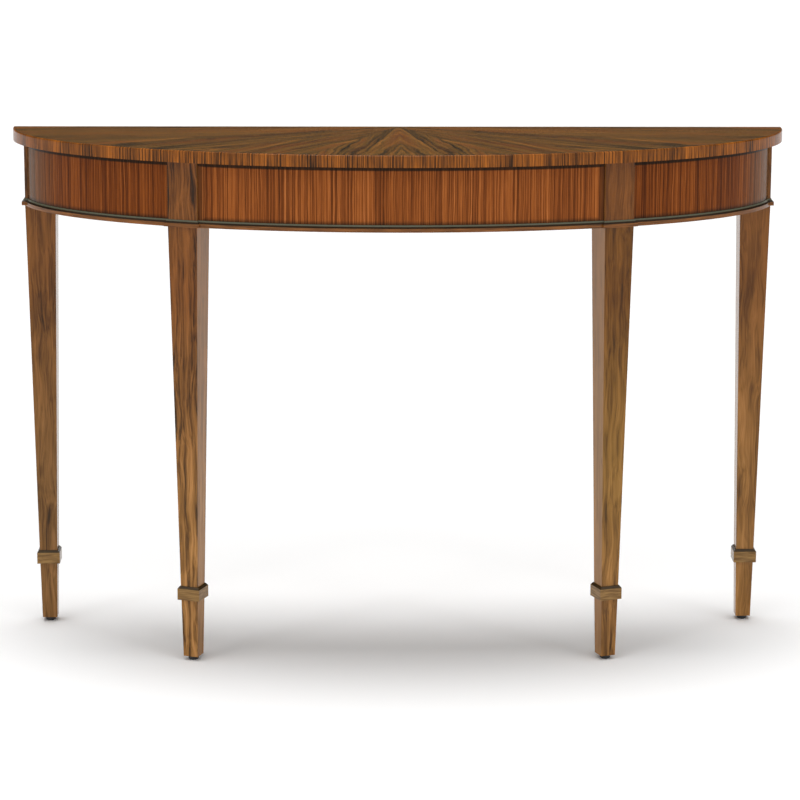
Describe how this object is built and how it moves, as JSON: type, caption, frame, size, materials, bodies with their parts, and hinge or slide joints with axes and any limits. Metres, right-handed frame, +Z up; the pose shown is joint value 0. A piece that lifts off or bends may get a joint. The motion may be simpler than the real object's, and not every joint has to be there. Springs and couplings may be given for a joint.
{
  "type": "demilune table",
  "caption": "Half-oval console table with a sunburst veneered top, curved striped apron, bead moulding, square tapered legs with ankle collars and push-in glides.",
  "frame": {"origin": "on the floor under the middle of the box of the top", "axes": "+X to the right seen from the curved front, +Y to the straight back edge, +Z up"},
  "size_m": [1.27, 0.356, 0.838],
  "materials": {
    "sunburst_veneer": "satin lacquer",
    "edge_veneer": "satin lacquer",
    "backing_veneer": "unfinished",
    "top_core_board": "unfinished",
    "striped_veneer": "satin lacquer",
    "apron_lamination": "unfinished",
    "secondary_wood": "unfinished",
    "leg_wood": "satin lacquer",
    "collar_wood": "satin lacquer",
    "bead_wood": "satin lacquer",
    "tenon_beech": "unfinished",
    "screw_steel": "zinc plated",
    "glide_nylon": "moulded"
  },
  "bodies": {
    "root": {"apron_core_centre": "apron_lamination", "apron_core_left": "apron_lamination", "apron_core_right": "apron_lamination", "apron_veneer_centre": "striped_veneer", "apron_veneer_left": "striped_veneer", "apron_veneer_right": "striped_veneer", "back_rail": "secondary_wood", "bead_back_left_face": "bead_wood", "bead_back_left_side": "bead_wood", "bead_back_right_face": "bead_wood", "bead_back_right_side": "bead_wood", "bead_bay_centre": "bead_wood", "bead_bay_left": "bead_wood", "bead_bay_right": "bead_wood", "bead_front_left_face": "bead_wood", "bead_front_left_inner_return": "bead_wood", "bead_front_left_outer_return": "bead_wood", "bead_front_right_face": "bead_wood", "bead_front_right_inner_return": "bead_wood", "bead_front_right_outer_return": "bead_wood", "collar_back_left": "collar_wood", "collar_back_right": "collar_wood", "collar_front_left": "collar_wood", "collar_front_right": "collar_wood", "cross_brace": "secondary_wood", "glide_back_left": "glide_nylon", "glide_back_right": "glide_nylon", "glide_front_left": "glide_nylon", "glide_front_right": "glide_nylon", "glue_block_back_left_leg": "secondary_wood", "glue_block_back_right_leg": "secondary_wood", "glue_block_front_left_leg_left": "secondary_wood", "glue_block_front_left_leg_right": "secondary_wood", "glue_block_front_right_leg_left": "secondary_wood", "glue_block_front_right_leg_right": "secondary_wood", "leg_back_left": "leg_wood", "leg_back_right": "leg_wood", "leg_front_left": "leg_wood", "leg_front_right": "leg_wood", "rail_tenons": "tenon_beech", "top_back_band": "edge_veneer", "top_balancing_veneer": "backing_veneer", "top_core": "top_core_board", "top_edge_band": "edge_veneer", "top_leaf_1": "sunburst_veneer", "top_leaf_2": "sunburst_veneer", "top_leaf_3": "sunburst_veneer", "top_leaf_4": "sunburst_veneer", "top_leaf_5": "sunburst_veneer", "top_leaf_6": "sunburst_veneer", "top_leaf_7": "sunburst_veneer", "top_leaf_8": "sunburst_veneer", "top_screws": "screw_steel"}
  },
  "joints": []
}
